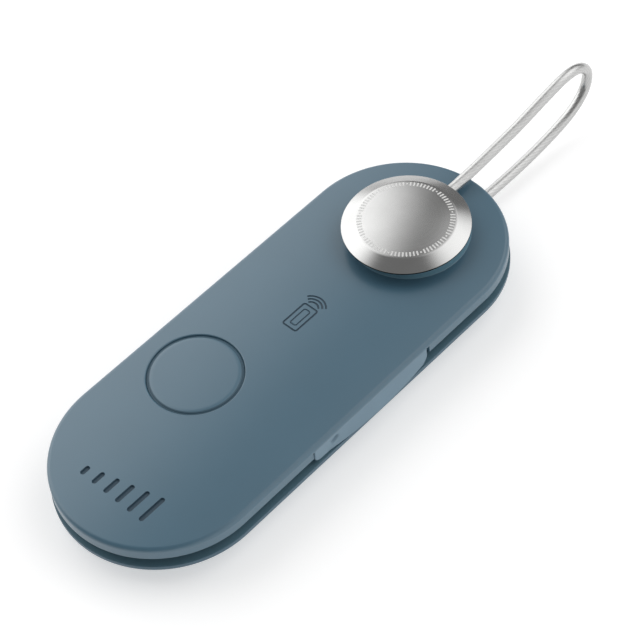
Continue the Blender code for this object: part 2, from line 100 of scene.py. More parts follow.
BASE_LOW, BASE_HIGH = corners("base_disc")
BASE_R = (BASE_HIGH.y - BASE_LOW.y) / 2
BASE_TOP = 2.95
STUD_R = 2.5
POCKET_R = 6.0
POCKET_FLOOR = 8.7
FIX_HOLE_R = 4.0
CHANNEL_HALF = 1.45

FLAP_LOW, FLAP_HIGH = corners("port_cover")
FLAP_SIDE_Y = -16.95
FLAP_INNER_Y = -15.7
FLAP_BULGE = FLAP_SIDE_Y - FLAP_LOW.y
FLAP_BULGE_X, FLAP_BULGE_HALF = 2.3, 11.0
FLAP_TOP_GAP = 0.02
NOTCH_TOP = 7.45
PORT_X, PORT_Z = 0.9, 5.65
PORT_MOUTH_Y = -14.2
SCREW_PLACES = ((-35.0, 8.2), (-35.0, -8.2), (21.8, 11.2), (21.8, -11.2))

ARC_STEPS = 72
TURN_STEPS = 144


# ---------------------------------------------------------------- outlines and solids


def stadium(radius, z, steps=ARC_STEPS):
    """Points anticlockwise round a stadium of this radius."""
    points = []
    for centre, start in ((HALF_STRAIGHT, -90), (-HALF_STRAIGHT, 90)):
        for i in range(steps + 1):
            a = math.radians(start + 180 * i / steps)
            points.append((centre + radius * math.cos(a), radius * math.sin(a), z))
    return points


def circle(x, y, radius, z, steps=TURN_STEPS):
    """Points anticlockwise round a level circle."""
    turn = [2 * math.pi * i / steps for i in range(steps)]
    return [(x + radius * math.cos(a), y + radius * math.sin(a), z) for a in turn]


def rounded_rectangle(width, height, radius, steps=6):
    """(u, v) points anticlockwise round a rounded rectangle centred on the origin."""
    points = []
    for sx, sy, start in ((1, -1, -90), (1, 1, 0), (-1, 1, 90), (-1, -1, 180)):
        for i in range(steps + 1):
            a = math.radians(start + 90 * i / steps)
            u = sx * (width / 2 - radius) + radius * math.cos(a)
            v = sy * (height / 2 - radius) + radius * math.sin(a)
            points.append((u, v))
    return points


def arc(centre_r, centre_z, radius, start, end, steps=6):
    """(radius, height) pairs round part of a circle, from one angle in degrees to another."""
    pairs = []
    for i in range(steps + 1):
        a = math.radians(start + (end - start) * i / steps)
        pairs.append((centre_r + radius * math.cos(a), centre_z + radius * math.sin(a)))
    return pairs


def spread(low, high, count):
    """Values from low to high that lie closer together near both ends."""
    middle, half = (low + high) / 2, (high - low) / 2
    return [middle - half * math.cos(math.pi * i / count) for i in range(count + 1)]


def edge_inset(distance, radius):
    """How far a rounded edge has fallen back at this distance from its end."""
    if distance >= radius:
        return 0.0
    return radius - math.sqrt(max(0.0, radius**2 - (radius - distance) ** 2))


class Solid:
    """Closed shells gathered into one mesh, in millimetres."""

    def __init__(self):
        self.points = []
        self.faces = []

    def loft(self, loops, ring=False):
        """Skins loops of equal length, each anticlockwise seen from the next one's side. It
        caps both ends, or closes the last loop on the first when ring is true."""
        n, base = len(loops[0]), len(self.points)
        self.points += [Vector(p) for loop in loops for p in loop]
        rows = [base + n * k for k in range(len(loops))]
        pairs = list(zip(rows, rows[1:]))
        if ring:
            pairs.append((rows[-1], rows[0]))
        for a, b in pairs:
            for i in range(n):
                j = (i + 1) % n
                self.faces.append((a + i, a + j, b + j, b + i))
        if not ring:
            self.faces.append(tuple(reversed(range(rows[0], rows[0] + n))))
            self.faces.append(tuple(range(rows[-1], rows[-1] + n)))
        return self

    def lathe(self, x, y, profile, ring=False, steps=TURN_STEPS):
        """A solid of revolution about an upright axis, from (radius, height) pairs."""
        return self.loft([circle(x, y, r, z, steps) for r, z in profile], ring)

    def prism(self, outline, low, high):
        """An upright extrusion of an anticlockwise outline of (x, y) points."""
        return self.loft([[(x, y, z) for x, y in outline] for z in (low, high)])

    def box(self, low, high):
        """A block between two opposite corners."""
        (x0, y0, z0), (x1, y1, z1) = low, high
        return self.prism(((x0, y0), (x1, y0), (x1, y1), (x0, y1)), z0, z1)

    def groove(self, path, radius, closed=False, sides=14):
        """A round bar along a level path, for cutting a groove."""
        loops = []
        last = len(path) - 1
        for k, (x, y, z) in enumerate(path):
            before = path[k - 1] if k or closed else path[0]
            after = path[(k + 1) % len(path)] if k < last or closed else path[last]
            along = Vector((after[0] - before[0], after[1] - before[1], 0)).normalized()
            side = Vector((-along.y, along.x, 0))
            loop = []
            for i in range(sides):
                a = 2 * math.pi * i / sides
                out = side * math.cos(a) + Vector((0, 0, math.sin(a)))
                loop.append(Vector((x, y, z)) + out * radius)
            loops.append(loop)
        return self.loft(loops, ring=closed)

    def mesh(self, name):
        """The gathered shells as a Blender mesh in metres."""
        made = bpy.data.meshes.new(name)
        made.from_pydata([p * MM for p in self.points], [], self.faces)
        made.update()
        return made


def shaped(name, solid, *steps):
    """The mesh of a solid after exact Booleans, given as (operation, solid) pairs."""
    collection = bpy.context.scene.collection
    obj = bpy.data.objects.new(name, solid.mesh(name))
    collection.objects.link(obj)
    tools = []
    for operation, other in steps:
        tool = bpy.data.objects.new(name + "_tool", other.mesh(name + "_tool"))
        collection.objects.link(tool)
        tools.append(tool)
        boolean = obj.modifiers.new(operation, "BOOLEAN")
        boolean.operation = operation
        boolean.solver = "EXACT"
        boolean.object = tool
    graph = bpy.context.evaluated_depsgraph_get()
    made = bpy.data.meshes.new_from_object(obj.evaluated_get(graph))
    for extra in (obj, *tools):
        bpy.data.objects.remove(extra)
    return made


def piece(name, mesh, finish, body, slot, *replaced, sharp=32):
    """Puts a mesh in the scene as a piece that rides on a body and stands for CAD nodes."""
    if isinstance(mesh, Solid):
        mesh = mesh.mesh(name)
    mesh.name = name
    mesh.materials.clear()
    mesh.materials.append(finish)
    mesh.shade_smooth()
    mesh.set_sharp_from_angle(angle=math.radians(sharp))
    obj = bpy.data.objects.new(name, mesh)
    bpy.context.scene.collection.objects.link(obj)
    obj.modifiers.new("even_shading", "WEIGHTED_NORMAL").keep_sharp = True
    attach(obj, body)
    if replaced:
        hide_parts(*replaced)
    return obj


def paint_faces(obj, finish, wanted):
    """Gives a second finish to the faces whose middle, in millimetres, and normal are wanted."""
    obj.data.materials.append(finish)
    slot = len(obj.data.materials) - 1
    for face in obj.data.polygons:
        if wanted(face.center / MM, face.normal):
            face.material_index = slot


# ---------------------------------------------------------------- materials


def add_node(tree, kind, inputs=None, **settings):
    """A shader node. Inputs are numbers, colours, or other nodes' sockets to link."""
    made = tree.nodes.new("ShaderNode" + kind)
    for key, value in settings.items():
        setattr(made, key, value)
    for key, value in (inputs or {}).items():
        if isinstance(value, bpy.types.NodeSocket):
            tree.links.new(value, made.inputs[key])
        else:
            made.inputs[key].default_value = value
    return made


def maths(tree, operation, *values):
    """The result of a Math node on numbers or sockets."""
    inputs = dict(enumerate(values))
    return add_node(tree, "Math", inputs, operation=operation).outputs[0]


def noise(tree, place, size, detail=2.0, stretch=(1, 1, 1)):
    """Noise with features of this size in millimetres, stretched along the axes."""
    scale = [1 / (size * MM * s) for s in stretch]
    scaled = add_node(tree, "VectorMath", {0: place, 1: scale}, operation="MULTIPLY")
    inputs = {"Vector": scaled.outputs[0], "Scale": 1.0, "Detail": detail}
    return add_node(tree, "TexNoise", inputs).outputs["Fac"]


def remap(tree, value, low, high, to_low, to_high, smooth=False):
    """A value carried from one range to another and held at its ends."""
    inputs = {"Value": value, "From Min": low, "From Max": high}
    inputs |= {"To Min": to_low, "To Max": to_high}
    kind = "SMOOTHSTEP" if smooth else "LINEAR"
    return add_node(tree, "MapRange", inputs, interpolation_type=kind).outputs["Result"]


def ramp(tree, value, *stops):
    """A colour ramp through (position, colour) stops."""
    made = add_node(tree, "ValToRGB", {"Fac": value})
    elements = made.color_ramp.elements
    while len(elements) < len(stops):
        elements.new(0.5)
    for element, (position, colour) in zip(elements, stops):
        element.position = position
        element.color = (*colour, 1.0)
    return made.outputs["Color"]


def blank_material(name, **sockets):
    """A Principled material with these fixed values; returns it, its tree, shader and place."""
    made = bpy.data.materials.new(name)
    made.use_nodes = True
    tree = made.node_tree
    shader = tree.nodes["Principled BSDF"]
    for key, value in sockets.items():
        shader.inputs[key.replace("_", " ")].default_value = value
    place = add_node(tree, "TexCoord").outputs["Object"]
    return made, tree, shader, place


def shade(colour, factor):
    """The colour made darker or lighter by a factor."""
    return tuple(channel * factor for channel in colour)


def crowned(tree, place, crown):
    """A normal that leans outwards away from the long axis, as on a slightly crowned face. The
    crown is the fall of the face in metres at one metre from the axis."""
    across = add_node(tree, "SeparateXYZ", {0: place}).outputs[1]
    fall = maths(tree, "MULTIPLY", maths(tree, "MULTIPLY", across, across), -crown)
    inputs = {"Height": fall, "Distance": 1.0, "Strength": 1.0}
    return add_node(tree, "Bump", inputs).outputs["Normal"]


def surface(name, colour, darker, patch, grain, rough, depth, crown=0.0, **sockets):
    """A surface whose colour drifts over patches, down to the darker share of itself, and whose
    fine grain shows in its gloss and its height. Patch, grain and depth are in millimetres."""
    made, tree, shader, place = blank_material(name, **sockets)
    drift = noise(tree, place, patch, 3.0)
    fine = noise(tree, place, grain, 3.0)
    colours = ramp(tree, drift, (0.3, shade(colour, darker)), (0.7, colour))
    tree.links.new(colours, shader.inputs["Base Color"])
    gloss = remap(tree, fine, 0.3, 0.7, *rough)
    tree.links.new(gloss, shader.inputs["Roughness"])
    bump = add_node(tree, "Bump", {"Height": fine, "Distance": depth * MM, "Strength": 1.0})
    if crown:
        tree.links.new(crowned(tree, place, crown), bump.inputs["Normal"])
    tree.links.new(bump.outputs["Normal"], shader.inputs["Normal"])
    return made


def turned_metal(name, colour, centre_x, rough=(0.15, 0.20), depth=0.0006, **sockets):
    """Metal turned on a lathe: fine rings about an upright axis at (centre_x, 0)."""
    made, tree, shader, place = blank_material(name, Metallic=1.0, **sockets)
    offset = {0: place, 1: (centre_x * MM, 0, 0)}
    centred = add_node(tree, "VectorMath", offset, operation="SUBTRACT").outputs[0]
    apart = add_node(tree, "SeparateXYZ", {0: centred})
    x, y, z = (apart.outputs[i] for i in range(3))
    squares = maths(tree, "ADD", maths(tree, "MULTIPLY", x, x), maths(tree, "MULTIPLY", y, y))
    radius = maths(tree, "SQRT", squares)
    across = add_node(tree, "CombineXYZ", {0: radius, 1: z, 2: 0.0}).outputs[0]
    rings = noise(tree, across, 0.09, 2.0)
    cloud = noise(tree, place, 5.0, 3.0)
    colours = ramp(tree, cloud, (0.3, shade(colour, 0.93)), (0.7, colour))
    tree.links.new(colours, shader.inputs["Base Color"])
    tree.links.new(remap(tree, rings, 0.3, 0.7, *rough), shader.inputs["Roughness"])
    bump = add_node(tree, "Bump", {"Height": rings, "Distance": depth * MM, "Strength": 1.0})
    tree.links.new(bump.outputs["Normal"], shader.inputs["Normal"])
    return made


def rope_metal(name, colour, strands, wires):
    """Twisted steel wire under a clear coat. The piece's UV map has U once round the rope and
    V once for each turn of its strands."""
    made, tree, shader, place = blank_material(
        name, Metallic=1.0, Coat_Weight=0.7, Coat_Roughness=0.1, Coat_IOR=1.5
    )
    uv = add_node(tree, "TexCoord").outputs["UV"]
    apart = add_node(tree, "SeparateXYZ", {0: uv})
    around, along = apart.outputs[0], apart.outputs[1]

    def twist(count, turns):
        """Waves that run round the rope as they go along it."""
        angle = maths(tree, "SUBTRACT", around, maths(tree, "MULTIPLY", along, turns))
        return maths(tree, "SINE", maths(tree, "MULTIPLY", angle, 2 * math.pi * count))

    strand = twist(strands, 1.0)
    wire = twist(wires, -1.6)
    half_strand, half_wire = (maths(tree, "MULTIPLY", wave, 0.5) for wave in (strand, wire))
    height = maths(tree, "ADD", half_strand, half_wire)
    # Darker in the valleys between strands and wires: painted shade.
    valley_shade = remap(tree, height, -1.0, 0.6, 0.0, 1.0)
    colours = ramp(tree, valley_shade, (0.0, shade(colour, 0.78)), (1.0, colour))
    tree.links.new(colours, shader.inputs["Base Color"])
    fine = noise(tree, place, 0.4, 2.0)
    tree.links.new(remap(tree, fine, 0.3, 0.7, 0.24, 0.36), shader.inputs["Roughness"])
    bump = add_node(tree, "Bump", {"Height": height, "Distance": 0.006 * MM, "Strength": 0.7})
    tree.links.new(bump.outputs["Normal"], shader.inputs["Normal"])
    return made


def circuit_board(name, mask, track):
    """Green solder mask over a pattern of tracks, with tinned dots."""
    made, tree, shader, place = blank_material(name, Coat_Weight=0.4, Coat_Roughness=0.15)
    flat = {0: place, 1: (1 / MM, 1 / MM, 0)}
    scaled = add_node(tree, "VectorMath", flat, operation="MULTIPLY")
    inputs = {"Vector": scaled.outputs[0], "Scale": 0.9}
    tracks = add_node(tree, "TexVoronoi", inputs, feature="DISTANCE_TO_EDGE", distance="EUCLIDEAN")
    lines = remap(tree, tracks.outputs["Distance"], 0.05, 0.07, 1.0, 0.0, smooth=True)
    colours = ramp(tree, lines, (0.0, mask), (1.0, track))
    tree.links.new(colours, shader.inputs["Base Color"])
    fine = noise(tree, place, 0.3, 2.0)
    tree.links.new(remap(tree, fine, 0.3, 0.7, 0.3, 0.42), shader.inputs["Roughness"])
    bump = add_node(tree, "Bump", {"Height": lines, "Distance": 0.02 * MM, "Strength": 0.6})
    tree.links.new(bump.outputs["Normal"], shader.inputs["Normal"])
    return made


SHELL_BLUE = (0.063, 0.140, 0.198)
# Lighter than the shell: painted light on the boss's wall.
BOSS_PAINTED_LIGHT_BLUE = (0.115, 0.235, 0.305)
# Lighter than the shell: painted light on the rear cover's ledge.
LEDGE_PAINTED_LIGHT_BLUE = (0.112, 0.208, 0.262)
# Darker than the shell: painted shade in the sunk marks.
SUNK_SHADE_BLUE = (0.024, 0.060, 0.092)
FLAP_BLUE = (0.165, 0.255, 0.325)
WAIST_BLUE = (0.066, 0.108, 0.132)
STEEL = (0.51, 0.51, 0.505)
GREY_STEEL = (0.50, 0.50, 0.49)
DARK_STEEL = (0.30, 0.30, 0.31)
# Near black: painted shade under the disc's rim.
RIM_SHADE_BLACK = (0.012, 0.015, 0.017)
SHEET_STEEL = (0.58, 0.58, 0.57)
WIRE_STEEL = (0.53, 0.53, 0.525)
GOLD = (0.83, 0.62, 0.24)

CROWN = 4.7
ROPE_STRANDS = 12
ROPE_WIRES = 40
METAL = {"Metallic": 1.0}
SHEEN = {"Specular_IOR_Level": 0.7}

# The case: its plastic, then the rear cover darkened as painted shade, painted shade at the foot of
# the button's gap, the rear cover's ledge under the waist and the wall of the boss lightened as
# painted light, and painted shade in the marks sunk in the top face.
shell_plastic = surface("shell_plastic", SHELL_BLUE, 0.96, 9.0, 0.12, (0.28, 0.34), 0.001, CROWN, **SHEEN)
rear_painted_shade_plastic = surface("rear_painted_shade_plastic", shade(SHELL_BLUE, 0.82), 0.95, 6.0, 0.12, (0.40, 0.48), 0.001)
painted_shade_plastic = surface("painted_shade_plastic", shade(SHELL_BLUE, 0.7), 0.9, 3.0, 0.1, (0.5, 0.6), 0.001)
ledge_painted_light_plastic = surface("ledge_painted_light_plastic", LEDGE_PAINTED_LIGHT_BLUE, 0.95, 6.0, 0.12, (0.40, 0.48), 0.001)
boss_painted_light_plastic = surface("boss_painted_light_plastic", BOSS_PAINTED_LIGHT_BLUE, 0.95, 6.0, 0.12, (0.35, 0.42), 0.001)
sunk_painted_shade_plastic = surface("sunk_painted_shade_plastic", SUNK_SHADE_BLUE, 0.9, 2.0, 0.06, (0.5, 0.6), 0.002)
flap_rubber = surface("flap_rubber", FLAP_BLUE, 0.94, 5.0, 0.10, (0.50, 0.58), 0.0012)
frame_plastic = surface("frame_plastic", WAIST_BLUE, 0.85, 4.0, 0.12, (0.50, 0.62), 0.002)

# The rope's fixing.
disc_steel = turned_metal("disc_steel", STEEL, FIX_X)
base_steel = turned_metal("base_steel", STEEL, FIX_X, (0.28, 0.38), 0.001)
# Near-black steel for the wall under the disc's rim: painted shade.
rim_painted_shade_steel = surface("rim_painted_shade_steel", RIM_SHADE_BLACK, 0.8, 3.0, 0.1, (0.35, 0.45), 0.001, **METAL)
lug_steel = surface("lug_steel", GREY_STEEL, 0.8, 1.5, 0.08, (0.3, 0.42), 0.002, **METAL)
screw_steel = surface("screw_steel", DARK_STEEL, 0.8, 0.8, 0.05, (0.3, 0.42), 0.002, **METAL)
mark_paint = surface("mark_paint", (0.78, 0.78, 0.77), 0.9, 1.0, 0.05, (0.4, 0.5), 0.001)
rope_steel = rope_metal("rope_steel", WIRE_STEEL, ROPE_STRANDS, ROPE_WIRES)
nylon = surface("nylon", (0.75, 0.74, 0.70), 0.93, 2.0, 0.1, (0.35, 0.45), 0.002)

# What the case holds.
seal_rubber = surface("seal_rubber", (0.02, 0.02, 0.02), 0.8, 2.0, 0.1, (0.7, 0.85), 0.004)
stamped_steel = surface("stamped_steel", SHEET_STEEL, 0.85, 1.5, 0.06, (0.25, 0.38), 0.002, **METAL)
chip_black = surface("chip_black", (0.025, 0.025, 0.027), 0.7, 0.8, 0.04, (0.42, 0.58), 0.003)
board_green = circuit_board("board_green", (0.008, 0.07, 0.03), (0.03, 0.16, 0.06))
ceramic = surface("ceramic", (0.78, 0.76, 0.70), 0.92, 1.5, 0.06, (0.35, 0.5), 0.003)
ferrite = surface("ferrite", (0.05, 0.05, 0.055), 0.75, 1.0, 0.05, (0.5, 0.68), 0.004)
copper = surface("copper", (0.72, 0.34, 0.18), 0.8, 1.5, 0.08, (0.28, 0.42), 0.002, **METAL)
pouch_foil = surface("pouch_foil", (0.60, 0.61, 0.62), 0.88, 2.5, 0.6, (0.3, 0.48), 0.03, Metallic=0.9)
foam = surface("foam", (0.06, 0.06, 0.06), 0.6, 0.5, 0.12, (0.85, 0.95), 0.03)
brass = surface("brass", (0.72, 0.55, 0.24), 0.85, 2.0, 0.1, (0.28, 0.4), 0.002, **METAL)
silvered = surface("silvered", (0.70, 0.70, 0.68), 0.85, 1.5, 0.07, (0.4, 0.55), 0.003, Metallic=0.6)
wire_red = surface("wire_red", (0.45, 0.02, 0.02), 0.85, 1.0, 0.08, (0.3, 0.42), 0.002)
wire_black = surface("wire_black", (0.02, 0.02, 0.02), 0.7, 1.0, 0.08, (0.3, 0.42), 0.002)
contact_gold = surface("contact_gold", GOLD, 0.9, 0.4, 0.04, (0.25, 0.35), 0.001, **METAL)


# ---------------------------------------------------------------- casing


def shell_engravings():
    """Cutters for the plain marks sunk in the top face: a tile symbol with three waves over the
    aerial, and six bars of growing length near the other end."""
    cuts = Solid()
    line_z, line_r = TOP_FACE + 0.02, 0.155
    symbol_x, symbol_y = 4.9, 1.56
    for width, height, corner, r in ((5.0, 2.75, 0.35, line_r), (3.4, 1.15, 0.3, line_r * 0.8)):
        outline = rounded_rectangle(width, height, corner)
        path = [(symbol_x + u, symbol_y + v, line_z) for u, v in outline]
        cuts.groove(path, r, closed=True)

    wave_x, wave_half, wave_steps = 7.05, 52, 20
    for radius in (1.35, 1.95, 2.53):
        path = []
        for i in range(wave_steps + 1):
            a = math.radians(-wave_half + 2 * wave_half * i / wave_steps)
            path.append((wave_x + radius * math.cos(a), symbol_y + radius * math.sin(a), line_z))
        cuts.groove(path, line_r)

    bar_base, bar_pitch, bar_width, bar_count = -36.8, 2.5, 0.75, 6
    shortest, longer_by = 1.6, 0.65
    steps = (
        (0.07, TOP_FACE - 0.26),
        (0.0, TOP_FACE - 0.05),
        (-0.05, TOP_FACE),
        (-0.05, TOP_FACE + 0.3),
    )
    for i in range(bar_count):
        length = shortest + longer_by * i
        x, y = bar_base + length / 2, bar_pitch * ((bar_count - 1) / 2 - i)
        loops = []
        for inset, z in steps:
            corner = bar_width / 2 - inset - 0.01
            outline = rounded_rectangle(length - 2 * inset, bar_width - 2 * inset, corner, 8)
            loops.append([(x + u, y + v, z) for u, v in outline])
        cuts.loft(loops)
    return cuts


def make_case_top():
    """The shell with its boss and screw posts, cut for the button, the rope's fixing, the flap
    and the marks."""
    edge = 0.12
    profile = [
        (SHELL_INNER_R, ROOF_UNDERSIDE),
        (SHELL_INNER_R, SHELL_BOTTOM + edge),
        (SHELL_INNER_R + edge, SHELL_BOTTOM),
        *arc(SHELL_R - edge, SHELL_BOTTOM + edge, edge, -90, 0, 4),
        *arc(SHELL_R - TOP_FILLET, WALL_TOP, TOP_FILLET, 0, 90, 12),
    ]
    shell = Solid().loft([stadium(r, z) for r, z in profile])

    foot, boss_edge, slope = 0.2, 0.3, 0.25
    boss_profile = [
        (BOSS_R + foot, ROOF_UNDERSIDE + 0.3),
        *arc(BOSS_R + foot, TOP_FACE + foot - 0.02, foot, 270, 180, 8),
        *arc(BOSS_R - slope - boss_edge, BOSS_TOP - boss_edge, boss_edge, 0, 90, 8),
    ]
    added = Solid().lathe(BOSS_X, 0, boss_profile)
    pilot_r, post_r = 1.0, 1.7
    post = ((pilot_r, SHELL_LOW.z), (post_r, SHELL_LOW.z), (post_r, WALL_TOP), (pilot_r, WALL_TOP))
    for x, y in SCREW_PLACES:
        added.lathe(x, y, post, ring=True, steps=32)

    cuts = shell_engravings()
    hole_edge = 0.22
    cuts.lathe(BUTTON_X, BUTTON_Y, [
        (BUTTON_HOLE_R, ROOF_UNDERSIDE - 0.4),
        *arc(BUTTON_HOLE_R + hole_edge, TOP_FACE - hole_edge, hole_edge, 180, 90, 4),
        (BUTTON_HOLE_R + hole_edge, TOP_FACE + 0.5),
    ])
    cuts.lathe(FIX_X, 0, (
        (FIX_HOLE_R, ROOF_UNDERSIDE - 0.9),
        (FIX_HOLE_R, POCKET_FLOOR),
        (POCKET_R, POCKET_FLOOR),
        (POCKET_R, BOSS_TOP + 0.9),
    ))
    notch_low = (FLAP_LOW.x - 0.3, FLAP_LOW.y - 0.7, SHELL_BOTTOM - 0.5)
    notch_high = (FLAP_HIGH.x + 0.45, FLAP_INNER_Y + 0.2, NOTCH_TOP)
    cuts.box(notch_low, notch_high)
    channel_floor, channel_end = 8.4, 41.0
    channel_low = (FIX_X, -CHANNEL_HALF, channel_floor)
    channel = Solid().box(channel_low, (channel_end, CHANNEL_HALF, BOSS_TOP + 0.9))

    mesh = shaped("case_top", shell, ("UNION", added), ("DIFFERENCE", cuts), ("DIFFERENCE", channel))
    top = piece("case_top", mesh, shell_plastic, "tag_body", "shell_plastic", "top_shell")

    def sunk(middle, _normal):
        in_symbol = 2.0 < middle.x < 10.0 and -1.0 < middle.y < 4.2
        in_bars = -38.0 < middle.x < -31.0 and abs(middle.y) < 7.2
        return TOP_FACE - 0.3 < middle.z < TOP_FACE - 0.02 and (in_symbol or in_bars)

    def on_boss_wall(middle, _normal):
        from_axis = math.hypot(middle.x - BOSS_X, middle.y)
        in_reach = BOSS_R - 1.0 < from_axis < BOSS_R + 0.1
        return in_reach and TOP_FACE + 0.05 < middle.z < BOSS_TOP - 0.01

    # The sunk marks' faces take a darker blue: painted shade in the recesses.
    paint_faces(top, sunk_painted_shade_plastic, sunk)
    # The boss's wall takes a lighter blue than the shell: painted light on the crescent under the disc.
    paint_faces(top, boss_painted_light_plastic, on_boss_wall)


def make_case_rear():
    """The rear cover: a shallow tray whose lip shows below the waist, with holes for the rope's
    bush and the screws."""
    bottom_edge, lip_edge = 0.4, 0.06
    profile = [
        *arc(COVER_R - bottom_edge, COVER_LOW.z + bottom_edge, bottom_edge, -90, 0, 8),
        *arc(COVER_R - lip_edge, COVER_HIGH.z - lip_edge, lip_edge, 0, 90, 5),
        (SHELL_INNER_R, COVER_HIGH.z),
        (SHELL_INNER_R, COVER_FLOOR),
    ]
    cover = Solid().loft([stadium(r, z) for r, z in profile])
    below, above = 2.5, 4.5
    cuts = Solid().lathe(FIX_X, 0, ((FIX_HOLE_R, below), (FIX_HOLE_R, above)))
    sink = ((2.05, 2.85), (2.05, 3.02), (1.95, 3.12), (1.0, 3.85), (1.0, 4.3))
    for x, y in SCREW_PLACES:
        cuts.lathe(x, y, sink, steps=64)
    mesh = shaped("case_rear", cover, ("DIFFERENCE", cuts))
    # The rear cover takes a darker copy of the shell's plastic: painted shade.
    rear = piece("case_rear", mesh, rear_painted_shade_plastic, "tag_body", "shell_plastic", "rear_cover")
    # The ledge's upward faces take a lighter blue: painted light where the overhanging shell keeps light
    # off.
    ledge_z = COVER_HIGH.z - 0.05
    paint_faces(rear, ledge_painted_light_plastic, lambda middle, normal: normal.z > 0.9 and middle.z > ledge_z)


def make_waist():
    """The recessed frame between the covers, with the bush's collar and its two ribs."""
    edge = 0.1
    profile = [
        (FRAME_INNER_R, FRAME_LOW.z),
        (FRAME_R - edge, FRAME_LOW.z),
        (FRAME_R, FRAME_LOW.z + edge),
        (FRAME_R, FRAME_HIGH.z - edge),
        (FRAME_R - edge, FRAME_HIGH.z),
        (FRAME_INNER_R, FRAME_HIGH.z),
    ]
    frame_ring = Solid().loft([stadium(r, z) for r, z in profile], ring=True)
    ribs = Solid()
    rib_half, rib_low, rib_high, rib_root, rib_end = 0.6, 4.2, 7.2, 4.6, 14.6
    for side in (-1, 1):
        low, high = sorted((side * rib_root, side * rib_end))
        ribs.box((FIX_X - rib_half, low, rib_low), (FIX_X + rib_half, high, rib_high))
    low_z, high_z, collar_r = FRAME_LOW.z, FRAME_HIGH.z, 5.2
    tube = ((FIX_HOLE_R, low_z), (collar_r, low_z), (collar_r, high_z), (FIX_HOLE_R, high_z))
    collar = Solid().lathe(FIX_X, 0, tube, ring=True, steps=64)
    outside_y, inside_y, socket_half = -16.5, -12.5, 4.8
    socket_low = (PORT_X - socket_half, outside_y, 3.5)
    socket_high = (PORT_X + socket_half, inside_y, 8.0)
    anchor_low, anchor_high = (10.9, outside_y, 4.75), (13.3, inside_y, 6.65)
    cuts = Solid().box(socket_low, socket_high)
    cuts.box(anchor_low, anchor_high)
    mesh = shaped("waist_frame", frame_ring, ("UNION", ribs), ("UNION", collar), ("DIFFERENCE", cuts))
    piece("waist_frame", mesh, frame_plastic, "tag_body", "frame_plastic", "mid_frame")


def make_rear_screws():
    """Four countersunk screws with a six-lobed drive."""
    outline = [(1.42, 3.2), (1.5, 3.26), (0.7, 3.85), (0.7, 6.5), (0.3, 6.8)]
    drive_r, lobe, lobe_count, steps = 0.52, 0.09, 6, 72
    lobes = []
    for i in range(steps):
        a = 2 * math.pi * i / steps
        r = drive_r + lobe * math.cos(lobe_count * a)
        lobes.append((r * math.cos(a), r * math.sin(a)))
    screw, drive = Solid().lathe(0, 0, outline, steps=64), Solid().prism(lobes, 3.0, 3.6)
    mesh = shaped("screw", screw, ("DIFFERENCE", drive))
    for i, (x, y) in enumerate(SCREW_PLACES, 1):
        name, node = f"screw_{i}", f"rear_screw_{i}"
        placed = piece(name, mesh.copy(), screw_steel, "tag_body", "screw_steel", node)
        placed.location = (x * MM, y * MM, 0)


# ---------------------------------------------------------------- button, flap and port


def make_button():
    """The cap: a flat top with a soft edge, and a step that fills the foot of the gap."""
    step_z, skirt_r = TOP_FACE - 0.25, BUTTON_HOLE_R - 0.04
    soft_wide, soft_deep, soft_steps = 0.85, 0.235, 12
    plunger_r = 1.2
    profile = [
        (plunger_r, BUTTON_LOW.z),
        (plunger_r, BUTTON_LOW.z + 0.1),
        (skirt_r, BUTTON_LOW.z + 0.1),
        (skirt_r, step_z - 0.05),
        (skirt_r - 0.05, step_z),
        (BUTTON_R, step_z),
    ]
    for i in range(soft_steps + 1):
        a = math.radians(90 * i / soft_steps)
        r = BUTTON_R - soft_wide * (1 - math.cos(a))
        profile.append((r, TOP_FACE - soft_deep * (1 - math.sin(a))))
    cap = Solid().lathe(BUTTON_X, BUTTON_Y, profile)
    cap = piece("press_button", cap, shell_plastic, "button", "shell_plastic", "button_cap", sharp=50)
    # The faces below the top face, on the soft edge and the step, take a darker copy of the shell's
    # plastic: painted shade at the foot of the gap.
    paint_faces(cap, painted_shade_plastic, lambda middle, _normal: middle.z < TOP_FACE - 0.06)


def flap_bottom(x):
    """The flap's lower edge, rounded off at both ends."""
    for end, reach, rise in ((FLAP_LOW.x, 1.3, 1.1), (FLAP_HIGH.x, 1.6, 1.7)):
        near = 1 - abs(x - end) / reach
        if near > 0:
            return FLAP_LOW.z + rise * (1 - math.sqrt(max(0.0, 1 - near * near)))
    return FLAP_LOW.z


def flap_face_y(x, z):
    """The outer face leans out downwards, most of all near the middle, and has a small slanted
    dent for a fingernail."""
    bulge = FLAP_BULGE * max(0.0, 1 - ((x - FLAP_BULGE_X) / FLAP_BULGE_HALF) ** 2)
    share = (FLAP_HIGH.z - z) / (FLAP_HIGH.z - FLAP_LOW.z)
    dent_x, dent_z, slant = -7.5, 6.3, math.radians(20)
    dent_deep, dent_long, dent_wide = 0.5, 0.72, 0.32
    dx, dz = x - dent_x, z - dent_z
    along = dx * math.cos(slant) + dz * math.sin(slant)
    across = dz * math.cos(slant) - dx * math.sin(slant)
    dent = dent_deep * math.exp(-((along / dent_long) ** 4) - (across / dent_wide) ** 4)
    return FLAP_SIDE_Y - bulge * max(0.0, share) + dent


def flap_section(x, top):
    """A closed section across the flap, anticlockwise seen from +X."""
    top_edge, edge = 0.03, 0.25
    low = flap_bottom(x)
    end_distance = min(x - FLAP_LOW.x, FLAP_HIGH.x - x)
    loop = [(x, FLAP_INNER_Y, low), (x, FLAP_INNER_Y, top)]
    for z in reversed(spread(low, top, 30)):
        inset = edge_inset(top - z, top_edge) + edge_inset(z - low, edge)
        inset += edge_inset(end_distance, edge)
        loop.append((x, min(flap_face_y(x, z) + inset, FLAP_INNER_Y - 0.3), z))
    return loop


